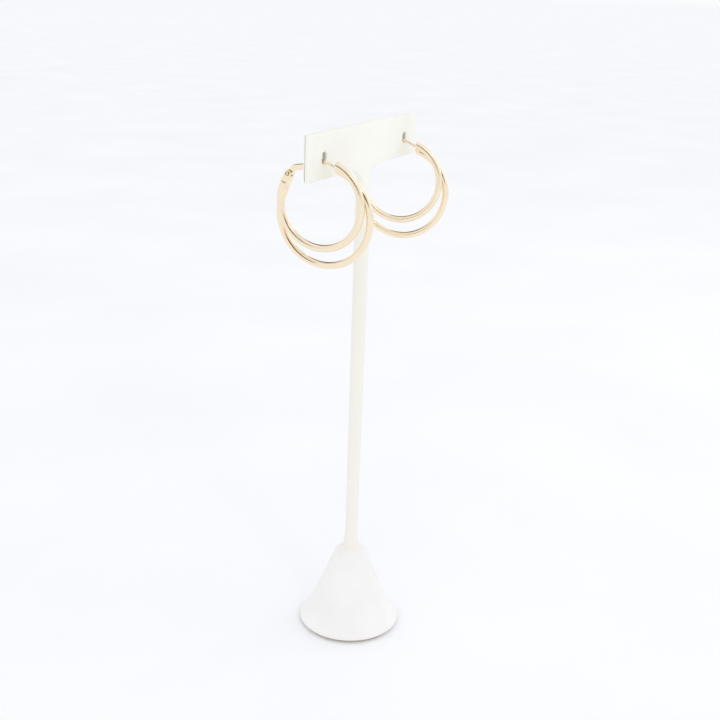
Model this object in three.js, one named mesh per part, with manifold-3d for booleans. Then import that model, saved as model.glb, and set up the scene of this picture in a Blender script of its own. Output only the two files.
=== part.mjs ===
// Pair of double-tube hoop earrings hanging on a T-bar display stand.
// Millimetres, +Z up. The origin is the centre of the stand's flat underside, X runs along the
// tag that carries the earrings, and the tag's front, where the ear wires come out, faces -Y.

import * as THREE from 'three';
import { mergeVertices } from 'three/addons/utils/BufferGeometryUtils.js';
import Module from 'manifold-3d';

const wasm = await Module();
wasm.setup();

const degrees = THREE.MathUtils.degToRad;

// Stand: foot pad and cone
const PAD_DIAMETER = 30.2;
const PAD_HEIGHT = 1;
const BASE_DIAMETER = 32.2;
const BASE_TOP = 26.3;            // height of the cone's top above the table
const BASE_TOP_DIAMETER = 6.4;    // flat round the stem
const SHOULDER_DIAMETER = 11;     // where the straight cone turns over into its top
const SHOULDER_HEIGHT = 2.3;
const FLARE_HEIGHT = 5.8;         // stretch over which the cone spreads into its rim
const FLARE_INSET = 3.9;          // how far the cone stands inside its rim above the flare
const RIM_HEIGHT = 0.9;

// Stand: stem
const STAND_HEIGHT = 162.4;
const STEM_BOTTOM_DIAMETER = 3.9;
const STEM_TOP_DIAMETER = 4.6;
const STEM_FOOT_DIAMETER = 5.6;
const STEM_FOOT_HEIGHT = 7;
const SPIGOT_DIAMETER = 3;
const SPIGOT_DEPTH = 11;

// Stand: tag and the neck that spreads from the stem into it
const TAG_LENGTH = 71.8;
const TAG_HEIGHT = 12.6;
const TAG_THICKNESS = 1.8;
const TAG_CORNER_RADIUS = 0.9;
const TAG_EDGE_ROUNDING = 0.35;
const NECK_WIDTH = 21;
const NECK_HEIGHT = 6;
const HOLE_SPACING = 54.2;
const HOLE_DIAMETER = 3.2;
const HOLE_BELOW_TOP = 6.8;

// Earrings: the two tubes, measured to their centre lines
const TUBE_DIAMETER = 2.05;
const TUBE_SOLDER_DEPTH = 0.1;    // how far the tubes run into each other where they touch
const LARGE_RING_RADIUS = 13.56;
const LARGE_RING_FORWARD = 0.39;  // its centre lies this far in front of the tag's middle
const LARGE_RING_DROP = 1.8;      // its top lies this far below the ear wire's top
const SMALL_RING_RADIUS = 12.05;
const SMALL_RING_BACK = 0.32;     // its centre lies this far behind the large ring's centre
const TUBE_SPREAD = 5.25;         // between the two centre lines at the bottom

// Earrings: hinge
const HINGE_ANGLE = 51.8;         // about the small ring's centre, from its top towards the back
const HINGE_OUTSET = 0.3;         // the pin lies this far outside the small ring's centre line
const HINGE_REACH = 2.4;          // the tubes end this far below the pin
const PIN_DIAMETER = 0.8;
const PIN_CLEARANCE = 0.12;
const KNUCKLE_DIAMETER = 1.9;
const EYE_THICKNESS = 1;
const CHEEK_THICKNESS = 0.75;
const CHEEK_CLEARANCE = 0.15;
const HINGE_BEND = 0.9;          // the large tube's end is bent back this far, beside the small one
const HINGE_BEND_ANGLE = 18;     // stretch of its ring over which it bends
const FORK_WIDTH = 1.95;          // across the fork below the eye
const EYE_LINK_WIDTH = 1.5;       // across the plate that joins the eye to the arm

// Earrings: ear wire, whose thick arm stands behind the tag
const WIRE_DIAMETER = 0.85;
const ARM_DIAMETER = 1.7;
const ARM_KNEE_BACK = 5.3;        // the arm is level from here to the tag
const ARM_KNEE_DROP = 1.9;        // below the wire's top
const ARM_SHOULDER_BACK = 8.1;    // here the arm bends down to the hinge
const ARM_SHOULDER_DROP = 2.5;
const ARM_FROM = 0.16;            // the arm's ends, as shares of the wire's path
const ARM_TO = 0.6;
const LINK_OVERLAP = 0.06;        // how far the eye's plate and the thin wire run into the arm
const THIN_WIRE_OVERLAP = 0.03;

// Earrings: catch between the tubes' front ends
const CATCH_MOUTH_FORWARD = 4.6;  // in front of the tag's middle
const CATCH_LENGTH = 1.5;
const CATCH_HEIGHT = 2.05;
const CATCH_WIDTH = 2.3;
const CATCH_SLOT_LENGTH = 1.1;
const CATCH_CLEARANCE = 0.15;
const WIRE_TIP_DEPTH = 0.9;       // how far the tip reaches into the catch

// How each earring hangs: its turn about the vertical, seen from above, how far its bottom leans
// towards +X, how far it swings about its own X axis, and how far its rings hang below the plain place
const LEFT_TURN = 1.1;
const LEFT_LEAN = 2.4;
const LEFT_SWING = 0;
const LEFT_DROP = 0;
const RIGHT_TURN = 12;
const RIGHT_LEAN = -3;
const RIGHT_SWING = -2;
const RIGHT_DROP = 0.8;

// Clearances between pieces that rest on each other
const SEAT_GAP = 0.3;
const WIRE_REST_GAP = 0.2;

// Faceting
const ROUND_STAND = 48;
const ROUND_TUBE = 14;
const ROUND_WIRE = 12;
const STEPS_PER_RING = 66;
const ARM_STEPS = 12;
const THIN_WIRE_STEPS = 16;

// Sizes that follow
const tubeRadius = TUBE_DIAMETER / 2;
const wireRadius = WIRE_DIAMETER / 2;
const tubeOffset = (TUBE_DIAMETER - TUBE_SOLDER_DEPTH) / 2;
const holeHeight = STAND_HEIGHT - HOLE_BELOW_TOP;
const tagBottom = STAND_HEIGHT - TAG_HEIGHT;
const baseBottom = PAD_HEIGHT;
const stemBottom = BASE_TOP + SEAT_GAP;

// In an earring's own frame the hole's middle is the origin, and points are (Y, Z)
const wireTop = new THREE.Vector2(0, -HOLE_DIAMETER / 2 + wireRadius + WIRE_REST_GAP);
const largeCentre = new THREE.Vector2(-LARGE_RING_FORWARD, wireTop.y - LARGE_RING_DROP - LARGE_RING_RADIUS);
const smallCentre = new THREE.Vector2(
  largeCentre.x + SMALL_RING_BACK,
  largeCentre.y - LARGE_RING_RADIUS + TUBE_SPREAD + SMALL_RING_RADIUS,
);

const leatherette = new THREE.MeshStandardMaterial({ color: 0xf3f1e9, roughness: 0.72, metalness: 0 });
const padBoard = new THREE.MeshStandardMaterial({ color: 0xc9c5bb, roughness: 0.9, metalness: 0 });
const gold = new THREE.MeshStandardMaterial({ color: 0xe9c088, roughness: 0.2, metalness: 1 });

// Solids: closed geometries joined and cut, and turned back into plain geometry

function toSolid(geometry) {
  const bare = geometry.clone();
  bare.deleteAttribute('normal');
  bare.deleteAttribute('uv');
  const merged = mergeVertices(bare, 1e-4);
  return new wasm.Manifold(new wasm.Mesh({
    numProp: 3,
    vertProperties: new Float32Array(merged.attributes.position.array),
    triVerts: new Uint32Array(merged.index.array),
  }));
}

function toGeometry(solid) {
  const mesh = solid.getMesh();
  const geometry = new THREE.BufferGeometry();
  geometry.setAttribute('position', new THREE.BufferAttribute(mesh.vertProperties, 3));
  geometry.setIndex(new THREE.BufferAttribute(mesh.triVerts, 1));
  geometry.computeVertexNormals();
  return geometry;
}

function join(...geometries) {
  return geometries.map(toSolid).reduce((sum, next) => sum.add(next));
}

function namedMesh(name, geometry, material) {
  const mesh = new THREE.Mesh(geometry, material);
  mesh.name = name;
  return mesh;
}

// A point at an angle from the top towards the back, round a centre in the YZ plane
function onCircle(centre, radius, angle) {
  const a = degrees(angle);
  return new THREE.Vector2(centre.x + radius * Math.sin(a), centre.y + radius * Math.cos(a));
}

// The angle at which a ring passes a height, behind its centre
function angleAtHeight(centre, radius, height) {
  return THREE.MathUtils.radToDeg(Math.acos((height - centre.y) / radius));
}

// The angle at which a ring's upper half passes a place along Y
function angleAtY(centre, radius, y) {
  return THREE.MathUtils.radToDeg(Math.asin((y - centre.x) / radius));
}

// A point on a tube's middle line: a circle whose back end may be bent back
function onTube({ centre, radius, back, bend }, angle) {
  const near = THREE.MathUtils.clamp(1 - (angle - back) / HINGE_BEND_ANGLE, 0, 1);
  const point = onCircle(centre, radius, angle);
  point.x += bend * near ** 2;
  return point;
}

// A tube's middle line, in its plane of constant X, from its back end to an angle at its front
class TubeLine extends THREE.Curve {
  constructor(tube, front) {
    super();
    Object.assign(this, { tube, front });
  }
  getPoint(t, target = new THREE.Vector3()) {
    const point = onTube(this.tube, THREE.MathUtils.lerp(this.tube.back, this.front, t));
    return target.set(this.tube.x, point.x, point.y);
  }
}

// A stretch of another curve, from one of its parameters to another
class Stretch extends THREE.Curve {
  constructor(curve, from, to) {
    super();
    Object.assign(this, { curve, from, to });
  }
  getPoint(t, target = new THREE.Vector3()) {
    return this.curve.getPoint(THREE.MathUtils.lerp(this.from, this.to, t), target);
  }
}

function roundBar(path, diameter, sides, steps) {
  const section = new THREE.Shape();
  section.absarc(0, 0, diameter / 2, 0, 2 * Math.PI);
  return new THREE.ExtrudeGeometry(section, {
    steps,
    extrudePath: path,
    curveSegments: sides / 2,
    bevelEnabled: false,
  });
}

// Flat plate: an outline drawn in (Y, Z), given a thickness along X about a middle
function plateAcrossX(outline, thickness, middle, sides) {
  const plate = new THREE.ExtrudeGeometry(outline, {
    depth: thickness,
    bevelEnabled: false,
    curveSegments: sides / 2,
  });
  plate.translate(0, 0, -thickness / 2);
  plate.rotateX(Math.PI / 2);
  plate.rotateZ(Math.PI / 2);
  return plate.translate(middle, 0, 0);
}

function discAcrossX(point, diameter, thickness, middle, sides) {
  const outline = new THREE.Shape();
  outline.absarc(point.x, point.y, diameter / 2, 0, 2 * Math.PI);
  return plateAcrossX(outline, thickness, middle, sides);
}

// Outline of a strap of even width between two points
function strapOutline(from, to, width) {
  const side = to.clone().sub(from).normalize().multiplyScalar(width / 2);
  const across = new THREE.Vector2(-side.y, side.x);
  return new THREE.Shape([
    from.clone().add(across),
    from.clone().sub(across),
    to.clone().sub(across),
    to.clone().add(across),
  ]);
}

// Stand

function footPad() {
  const pad = new THREE.CylinderGeometry(PAD_DIAMETER / 2, PAD_DIAMETER / 2, PAD_HEIGHT, ROUND_STAND);
  pad.rotateX(Math.PI / 2);
  pad.translate(0, 0, PAD_HEIGHT / 2);
  return toGeometry(toSolid(pad));
}

// Cone with a spread rim and a rounded shoulder, bored for the stem's spigot
function baseCone() {
  const rim = BASE_DIAMETER / 2;
  const top = BASE_TOP_DIAMETER / 2;
  const shoulder = SHOULDER_DIAMETER / 2;
  const waistRadius = rim - FLARE_INSET;
  const waistHeight = baseBottom + RIM_HEIGHT + FLARE_HEIGHT;
  const outline = new THREE.Path();
  outline.moveTo(0, baseBottom);
  outline.lineTo(rim - 0.25 * RIM_HEIGHT, baseBottom);
  outline.lineTo(rim, baseBottom + 0.35 * RIM_HEIGHT);
  outline.lineTo(rim - 0.25 * RIM_HEIGHT, baseBottom + RIM_HEIGHT);
  outline.quadraticCurveTo(
    waistRadius + 0.4 * FLARE_INSET, baseBottom + RIM_HEIGHT + 0.3 * FLARE_HEIGHT,
    waistRadius, waistHeight,
  );
  outline.lineTo(shoulder, BASE_TOP - SHOULDER_HEIGHT);
  outline.quadraticCurveTo(THREE.MathUtils.lerp(top, shoulder, 0.75), BASE_TOP, top, BASE_TOP);
  outline.lineTo(0, BASE_TOP);
  const cone = new THREE.LatheGeometry(outline.getPoints(6), ROUND_STAND).rotateX(Math.PI / 2);
  const boreRadius = SPIGOT_DIAMETER / 2 + SEAT_GAP;
  const boreDepth = SPIGOT_DEPTH + SEAT_GAP;
  const bore = new THREE.CylinderGeometry(boreRadius, boreRadius, 2 * boreDepth, ROUND_WIRE);
  bore.rotateX(Math.PI / 2).translate(0, 0, stemBottom);
  return toGeometry(toSolid(cone).subtract(toSolid(bore)));
}

// How far the neck has spread at a height, from 0 on the stem to 1 inside the tag
function neckSpread(z) {
  const rise = THREE.MathUtils.clamp((z - tagBottom + NECK_HEIGHT) / NECK_HEIGHT, 0, 1);
  return 1 - Math.sqrt(Math.max(0, 1 - rise ** 2));
}

function stemRadius(z) {
  const up = THREE.MathUtils.clamp((z - stemBottom) / (tagBottom - stemBottom), 0, 1);
  const straight = THREE.MathUtils.lerp(STEM_BOTTOM_DIAMETER, STEM_TOP_DIAMETER, up) / 2;
  const foot = THREE.MathUtils.clamp(1 - (z - stemBottom) / STEM_FOOT_HEIGHT, 0, 1);
  return straight + (STEM_FOOT_DIAMETER / 2 - STEM_BOTTOM_DIAMETER / 2) * foot ** 2;
}

// Round stem whose upper end flattens and spreads into the tag's plane
function stemWithNeck() {
  const footRows = 5;
  const shaftRows = 6;
  const neckRows = 9;
  const neckBottom = tagBottom - NECK_HEIGHT;
  const neckTop = tagBottom + TAG_EDGE_ROUNDING;
  const heights = [];
  for (let i = 0; i < footRows; i++) heights.push(stemBottom + STEM_FOOT_HEIGHT * i / footRows);
  for (let i = 0; i < shaftRows; i++) {
    heights.push(THREE.MathUtils.lerp(stemBottom + STEM_FOOT_HEIGHT, neckBottom, i / shaftRows));
  }
  for (let i = 0; i <= neckRows; i++) heights.push(THREE.MathUtils.lerp(neckBottom, neckTop, i / neckRows));
  const stem = new THREE.CylinderGeometry(1, 1, 1, ROUND_STAND / 2, heights.length - 1);
  stem.rotateX(Math.PI / 2);
  const position = stem.attributes.position;
  for (let i = 0; i < position.count; i++) {
    const row = Math.round((position.getZ(i) + 0.5) * (heights.length - 1));
    const z = heights[row];
    const spread = neckSpread(z);
    const halfWidth = THREE.MathUtils.lerp(stemRadius(z), NECK_WIDTH / 2, spread);
    const halfDepth = THREE.MathUtils.lerp(stemRadius(z), TAG_THICKNESS / 2 - 0.05, Math.sqrt(spread));
    position.setXYZ(i, position.getX(i) * halfWidth, position.getY(i) * halfDepth, z);
  }
  const spigotTop = stemBottom + STEM_FOOT_HEIGHT / 2;
  const spigotBottom = stemBottom - SPIGOT_DEPTH;
  const spigot = new THREE.CylinderGeometry(
    SPIGOT_DIAMETER / 2, SPIGOT_DIAMETER / 2, spigotTop - spigotBottom, ROUND_WIRE,
  );
  spigot.rotateX(Math.PI / 2).translate(0, 0, (spigotTop + spigotBottom) / 2);
  return join(stem, spigot);
}

function tagPlate() {
  const halfLength = TAG_LENGTH / 2;
  const halfHeight = TAG_HEIGHT / 2;
  const r = TAG_CORNER_RADIUS;
  const outline = new THREE.Shape();
  outline.absarc(halfLength - r, halfHeight - r, r, 0, Math.PI / 2);
  outline.absarc(-halfLength + r, halfHeight - r, r, Math.PI / 2, Math.PI);
  outline.absarc(-halfLength + r, -halfHeight + r, r, Math.PI, 1.5 * Math.PI);
  outline.absarc(halfLength - r, -halfHeight + r, r, 1.5 * Math.PI, 2 * Math.PI);
  for (const side of [-1, 1]) {
    const hole = new THREE.Path();
    hole.absarc(side * HOLE_SPACING / 2, halfHeight - HOLE_BELOW_TOP, HOLE_DIAMETER / 2, 0, 2 * Math.PI);
    outline.holes.push(hole);
  }
  const plate = new THREE.ExtrudeGeometry(outline, {
    depth: TAG_THICKNESS - 2 * TAG_EDGE_ROUNDING,
    bevelThickness: TAG_EDGE_ROUNDING,
    bevelSize: TAG_EDGE_ROUNDING,
    bevelOffset: -TAG_EDGE_ROUNDING,
    bevelSegments: 3,
    curveSegments: 8,
  });
  plate.translate(0, 0, TAG_EDGE_ROUNDING - TAG_THICKNESS / 2);
  plate.rotateX(Math.PI / 2);
  plate.translate(0, 0, STAND_HEIGHT - halfHeight);
  return toSolid(plate);
}

function stemAndTag() {
  return toGeometry(stemWithNeck().add(tagPlate()));
}

// Earring, in its own frame

const hingePoint = onCircle(smallCentre, SMALL_RING_RADIUS + HINGE_OUTSET, HINGE_ANGLE);
const tubeBackHeight = hingePoint.y - HINGE_REACH;

// Two tubes side by side: the small ring on the -X side, the large one on the +X side
const largeTube = {
  centre: largeCentre,
  radius: LARGE_RING_RADIUS,
  back: angleAtHeight(largeCentre, LARGE_RING_RADIUS, tubeBackHeight),
  bend: HINGE_BEND,
  x: tubeOffset,
};
const smallTube = {
  centre: smallCentre,
  radius: SMALL_RING_RADIUS,
  back: angleAtHeight(smallCentre, SMALL_RING_RADIUS, tubeBackHeight),
  bend: 0,
  x: -tubeOffset,
};

// Half way between the two rings' centre lines, at a place along Y near their front ends
function betweenTubes(y) {
  const large = onCircle(largeCentre, LARGE_RING_RADIUS, angleAtY(largeCentre, LARGE_RING_RADIUS, y));
  const small = onCircle(smallCentre, SMALL_RING_RADIUS, angleAtY(smallCentre, SMALL_RING_RADIUS, y));
  return large.lerp(small, 0.5);
}

const catchMouth = betweenTubes(-CATCH_MOUTH_FORWARD);
const wireTip = betweenTubes(-CATCH_MOUTH_FORWARD - WIRE_TIP_DEPTH);

function ringTubes() {
  return join(...[largeTube, smallTube].map((tube) => {
    const front = 360 + angleAtY(tube.centre, tube.radius, -CATCH_MOUTH_FORWARD);
    const steps = Math.round(STEPS_PER_RING * (front - tube.back) / 360);
    return roundBar(new TubeLine(tube, front), TUBE_DIAMETER, ROUND_TUBE, steps);
  }));
}

// Fork of two cheeks round the ear wire's eye, each running down into its own tube, and the bridge
// that joins them below the eye
function hingeFork() {
  const middle = EYE_THICKNESS / 2 + CHEEK_CLEARANCE + CHEEK_THICKNESS / 2;
  const buried = THREE.MathUtils.radToDeg(tubeRadius / SMALL_RING_RADIUS);
  const cheeks = [
    { x: middle, root: onTube(largeTube, largeTube.back + buried) },
    { x: -middle, root: onTube(smallTube, smallTube.back + buried) },
  ];
  const root = cheeks[0].root.clone().lerp(cheeks[1].root, 0.5);
  const eyeEdge = root.clone().sub(hingePoint).setLength(KNUCKLE_DIAMETER / 2).add(hingePoint);
  const bridge = plateAcrossX(strapOutline(eyeEdge, root, FORK_WIDTH), 2 * middle, 0, ROUND_TUBE);
  return join(bridge, ...cheeks.flatMap(({ x, root: cheekRoot }) => [
    discAcrossX(hingePoint, KNUCKLE_DIAMETER, CHEEK_THICKNESS, x, ROUND_TUBE),
    plateAcrossX(strapOutline(hingePoint, cheekRoot, FORK_WIDTH), CHEEK_THICKNESS, x, ROUND_TUBE),
  ]));
}

// Block between the tubes' front ends, and the slot from above that takes the wire's tip
function catchBlock() {
  const back = betweenTubes(-CATCH_MOUTH_FORWARD - CATCH_LENGTH);
  return toSolid(plateAcrossX(strapOutline(catchMouth, back, CATCH_HEIGHT), CATCH_WIDTH, 0, ROUND_TUBE));
}

function catchSlot() {
  const lift = CATCH_HEIGHT - wireRadius - CATCH_CLEARANCE;
  const run = betweenTubes(-CATCH_MOUTH_FORWARD - CATCH_SLOT_LENGTH).sub(catchMouth);
  const outward = new THREE.Vector2(run.y, -run.x).normalize();
  const from = catchMouth.clone().addScaledVector(outward, lift).sub(run);
  const to = catchMouth.clone().addScaledVector(outward, lift).add(run);
  const width = WIRE_DIAMETER + 2 * CATCH_CLEARANCE;
  return toSolid(plateAcrossX(strapOutline(from, to, 2 * CATCH_HEIGHT), width, 0, ROUND_TUBE));
}

function hoop() {
  const pinBore = discAcrossX(hingePoint, PIN_DIAMETER + 2 * PIN_CLEARANCE, 3 * CATCH_WIDTH, 0, ROUND_TUBE);
  const eyeRoom = discAcrossX(hingePoint, KNUCKLE_DIAMETER + 2 * CHEEK_CLEARANCE,
    EYE_THICKNESS + 2 * CHEEK_CLEARANCE, 0, ROUND_TUBE);
  const solid = ringTubes().add(hingeFork()).add(catchBlock())
    .subtract(toSolid(pinBore)).subtract(toSolid(eyeRoom)).subtract(catchSlot());
  return toGeometry(solid);
}

// The ear wire's middle line, from the hinge over the arm and through the hole to the catch; where
// the rings hang lower, the wire's top stands that much higher above them
function wirePath(drop) {
  const stations = [
    hingePoint,
    new THREE.Vector2(ARM_SHOULDER_BACK, wireTop.y - ARM_SHOULDER_DROP),
    new THREE.Vector2(ARM_KNEE_BACK, wireTop.y - ARM_KNEE_DROP),
    new THREE.Vector2(wireTop.x, wireTop.y + drop),
    wireTip,
  ];
  return new THREE.CatmullRomCurve3(stations.map((point) => new THREE.Vector3(0, point.x, point.y)));
}

// Eye round the pin, a thick arm behind the tag, then the thin wire through the hole to the catch
function earWire(drop) {
  const path = wirePath(drop);
  const eye = discAcrossX(hingePoint, KNUCKLE_DIAMETER, EYE_THICKNESS, 0, ROUND_TUBE);
  const armRoot = path.getPoint(ARM_FROM + LINK_OVERLAP);
  const link = plateAcrossX(
    strapOutline(hingePoint, new THREE.Vector2(armRoot.y, armRoot.z), EYE_LINK_WIDTH),
    EYE_THICKNESS, 0, ROUND_TUBE);
  const arm = roundBar(new Stretch(path, ARM_FROM, ARM_TO), ARM_DIAMETER, ROUND_WIRE, ARM_STEPS);
  const wire = roundBar(new Stretch(path, ARM_TO - THIN_WIRE_OVERLAP, 1), WIRE_DIAMETER, ROUND_WIRE,
    THIN_WIRE_STEPS);
  const pinBore = discAcrossX(hingePoint, PIN_DIAMETER + 2 * PIN_CLEARANCE, 2 * EYE_THICKNESS, 0, ROUND_TUBE);
  return toGeometry(join(eye, link, arm, wire).subtract(toSolid(pinBore)));
}

function hingePin() {
  const length = EYE_THICKNESS + 2 * (CHEEK_CLEARANCE + CHEEK_THICKNESS);
  return toGeometry(toSolid(discAcrossX(hingePoint, PIN_DIAMETER, length, 0, ROUND_TUBE)));
}

function earring(name, x, { turn, lean, swing, drop }) {
  const group = new THREE.Group();
  group.position.set(x, 0, holeHeight - drop);
  group.rotation.set(degrees(swing), degrees(-lean), degrees(turn), 'ZYX');
  group.add(namedMesh(`${name}_hoop`, hoop(), gold));
  group.add(namedMesh(`${name}_ear_wire`, earWire(drop), gold));
  group.add(namedMesh(`${name}_hinge_pin`, hingePin(), gold));
  return group;
}

const stand = new THREE.Group();
stand.add(namedMesh('stand_foot_pad', footPad(), padBoard));
stand.add(namedMesh('stand_base', baseCone(), leatherette));
stand.add(namedMesh('stand_stem_and_tag', stemAndTag(), leatherette));

const model = new THREE.Group();
model.add(stand);
model.add(earring('left', -HOLE_SPACING / 2,
  { turn: LEFT_TURN, lean: LEFT_LEAN, swing: LEFT_SWING, drop: LEFT_DROP }));
model.add(earring('right', HOLE_SPACING / 2,
  { turn: RIGHT_TURN, lean: RIGHT_LEAN, swing: RIGHT_SWING, drop: RIGHT_DROP }));

export default model;
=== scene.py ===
"""Pair of double-tube hoop earrings hanging on a covered T-bar display stand.

Lengths in the functions are millimetres in the stand's frame, where +Z is up, X runs along the tag
and the tag's front faces -Y. A piece's mesh is put into metres as it is made.
"""

import math

import bmesh
import bpy
import numpy as np
from bpy.props import FloatProperty, FloatVectorProperty, IntProperty, PointerProperty
from mathutils import Matrix, Vector


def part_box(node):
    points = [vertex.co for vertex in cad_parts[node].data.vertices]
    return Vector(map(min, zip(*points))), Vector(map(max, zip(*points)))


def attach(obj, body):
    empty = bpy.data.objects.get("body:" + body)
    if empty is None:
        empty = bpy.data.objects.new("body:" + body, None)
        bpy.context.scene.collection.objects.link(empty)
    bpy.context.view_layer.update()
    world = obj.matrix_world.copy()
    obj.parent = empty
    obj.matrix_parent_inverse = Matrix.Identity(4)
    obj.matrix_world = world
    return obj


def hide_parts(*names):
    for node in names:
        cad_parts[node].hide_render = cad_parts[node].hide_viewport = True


bl_info = {
    "name": "Hoop Earrings on Display Stand",
    "version": (1, 0, 0),
    "blender": (4, 5, 0),
    "location": "View3D > Sidebar > Earrings",
    "description": "Builds a pair of double-tube hoops on a covered T-bar stand, with its studio",
    "category": "Add Mesh",
}

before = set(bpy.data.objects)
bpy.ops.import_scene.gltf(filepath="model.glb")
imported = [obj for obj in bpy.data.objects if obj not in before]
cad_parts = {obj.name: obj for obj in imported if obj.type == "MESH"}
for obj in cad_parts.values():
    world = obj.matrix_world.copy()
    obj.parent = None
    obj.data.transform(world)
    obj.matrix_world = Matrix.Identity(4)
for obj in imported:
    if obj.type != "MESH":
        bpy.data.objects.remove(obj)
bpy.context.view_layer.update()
MM = 0.001
TURN = 2 * math.pi

# How many sides each round piece has
SIDES = {"board": 192, "cone": 400, "stem": 160, "hole": 64, "tube": 48, "eye": 96, "pin": 32, "wire": 40,
         "floor": 96}


def high_corner(node):
    """Highest corner of a node of the frame, in millimetres."""
    _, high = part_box(node)
    return np.array(high) / MM


PAD_HIGH = high_corner("stand_foot_pad")
BASE_HIGH = high_corner("stand_base")
STEM_HIGH = high_corner("stand_stem_and_tag")


def value(label, default):
    """A length in millimetres, or else the angle or count that its label says."""
    return FloatProperty(name=label, default=default, precision=3)


def colour(label, default):
    """A colour that a user would change."""
    return FloatVectorProperty(name=label, default=default, subtype="COLOR", size=3, min=0.0, max=1.0)


class StandSizes(bpy.types.PropertyGroup):
    """Sizes of the stand; the ones that the frame gives are read from it."""

    pad_diameter: value("Diameter of the board under the cone", PAD_HIGH[0] * 2)
    pad_height: value("Thickness of the foot board", PAD_HIGH[2])
    rim_diameter: value("Diameter of the cone's rim", BASE_HIGH[0] * 2)
    cone_top: value("Height of the cone's top", BASE_HIGH[2])
    cone_top_diameter: value("Diameter of the cone's flat top", 6.4)
    shoulder_diameter: value("Diameter where the cone turns over into its top", 11.0)
    shoulder_height: value("Height of the cone's turn into its top", 2.3)
    rim_height: value("Height of the rolled rim", 0.9)
    flare_height: value("Height over which the cone spreads", 5.8)
    flare_inset: value("How far the cone stands inside its rim", 3.9)
    stem_bottom_diameter: value("Stem's diameter above its spread foot", 3.9)
    stem_top_diameter: value("Stem's diameter below its neck", 4.6)
    stem_foot_diameter: value("Stem's diameter where it meets the cone", 5.6)
    stem_foot_height: value("Height over which the stem's foot spreads", 7.0)
    tag_length: value("Length of the tag", STEM_HIGH[0] * 2)
    tag_height: value("Height of the tag", 12.6)
    tag_top: value("Height of the tag's upper edge", STEM_HIGH[2])
    tag_thickness: value("Thickness of the tag", 1.8)
    tag_corner_radius: value("Radius of the tag's corners", 0.9)
    tag_edge_rounding: value("Rounding of the tag's edges", 0.35)
    neck_width: value("Width where the neck meets the tag", 21.0)
    neck_height: value("Height over which the neck spreads", 6.0)
    hole_spacing: value("Distance between the two holes", 54.2)
    hole_diameter: value("Diameter of each hole", 3.2)
    hole_below_top: value("Hole's middle below the tag's upper edge", 6.8)
    seam_width: value("Width of the covering's seams", 0.34)
    seam_depth: value("Depth of the covering's seams", 0.2)


class EarringSizes(bpy.types.PropertyGroup):
    """Sizes of one earring, in its own frame: the hole's middle is the origin."""

    tube_diameter: value("Diameter of both tubes", 2.05)
    solder_depth: value("How far the tubes run into each other", 0.1)
    large_radius: value("Radius of the large tube's middle line", 13.56)
    large_forward: value("Large ring's centre in front of the tag's middle", 0.39)
    large_drop: value("Large ring's top below the wire's top", 1.8)
    small_radius: value("Radius of the small tube's middle line", 12.05)
    small_back: value("Small ring's centre behind the large one's", 0.32)
    tube_spread: value("Between the middle lines at the bottom", 5.25)
    hinge_angle: value("Degrees round the small ring from its top to the pin", 51.8)
    hinge_outset: value("The pin outside the small ring's middle line", 0.3)
    hinge_reach: value("The tubes end this far below the pin", 2.4)
    pin_diameter: value("Diameter of the hinge pin", 0.8)
    pin_clearance: value("Gap round the pin", 0.12)
    knuckle_diameter: value("Diameter of the hinge's eye and cheeks", 1.9)
    eye_thickness: value("Thickness of the wire's eye", 1.0)
    cheek_thickness: value("Thickness of each cheek", 0.75)
    cheek_clearance: value("Gap between eye and cheek", 0.15)
    hinge_bend: value("The large tube's end is bent back this far", 0.9)
    bend_angle: value("Degrees of the large ring over which its end bends", 18.0)
    fork_width: value("Width of the fork below the eye", 1.95)
    wire_diameter: value("Diameter of the thin ear wire", 0.85)
    tip_diameter: value("Diameter of the wire's tip", 0.6)
    arm_diameter: value("Diameter of the thick arm", 1.7)
    knee_back: value("The arm's knee behind the tag's middle", 5.3)
    knee_drop: value("The knee below the wire's top", 1.9)
    shoulder_back: value("The arm's shoulder behind the tag's middle", 8.1)
    shoulder_drop: value("The shoulder below the wire's top", 2.5)
    arm_start: value("The thick arm begins this far from the pin", 1.12)
    rest_gap: value("Wire above the hole's lower edge", 0.2)
    mouth_forward: value("The catch's mouth in front of the tag's middle", 4.6)
    catch_length: value("Length of the catch along the tubes", 1.5)
    catch_height: value("Height of the catch", 2.05)
    catch_width: value("Width of the catch", 2.3)
    slot_length: value("Length of the catch's slot", 1.1)
    catch_clearance: value("Gap between wire and slot", 0.15)
    tip_depth: value("How far the tip reaches into the catch", 0.9)


class HangSettings(bpy.types.PropertyGroup):
    """Each earring's turn, lean and swing in degrees in its hole, and its drop in millimetres."""

    left: FloatVectorProperty(name="Hang of the left earring", size=4, default=(1.1, 2.4, 0.0, 0.0))
    right: FloatVectorProperty(name="Hang of the right earring", size=4, default=(12.0, -3.0, -2.0, 0.8))


class FinishSettings(bpy.types.PropertyGroup):
    """Colours and grain of the materials."""

    leather: colour("Cream covering of the stand", (0.95, 0.948, 0.872))
    leather_shade: colour("Darker flecks of the covering", (0.912, 0.903, 0.826))
    # low_stem: the stem's tone below 115 mm; the covering turns darker and yellower from 150 mm down to
    # there
    low_stem: colour("Covering of the stem, a little yellowed below", (0.905, 0.882, 0.805))
    cone_leather: colour("Covering of the cone, a little cooler", (0.94, 0.925, 0.905))
    cone_shade: colour("Darker flecks of the cone's covering", (0.905, 0.885, 0.865))
    leather_grain: value("Cells of the grain in each metre", 1900)
    # seam: the seam's dark glue line, with painted shade of its groove mixed into the tone
    seam: colour("Board and glue that show in the seams", (0.38, 0.385, 0.29))
    # hole: painted shade on the deep walls of the tag's holes
    hole: colour("Raw edge inside the tag's holes", (0.64, 0.62, 0.54))
    # board: the foot board's own grey-brown, darkened as painted shade for the contact shadow under the rim
    board: colour("Foot board under the cone", (0.44, 0.41, 0.36))
    gold: colour("Polished gold", (0.955, 0.825, 0.63))
    solder: colour("Gold of the catch and the hinge", (0.945, 0.835, 0.61))


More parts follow.
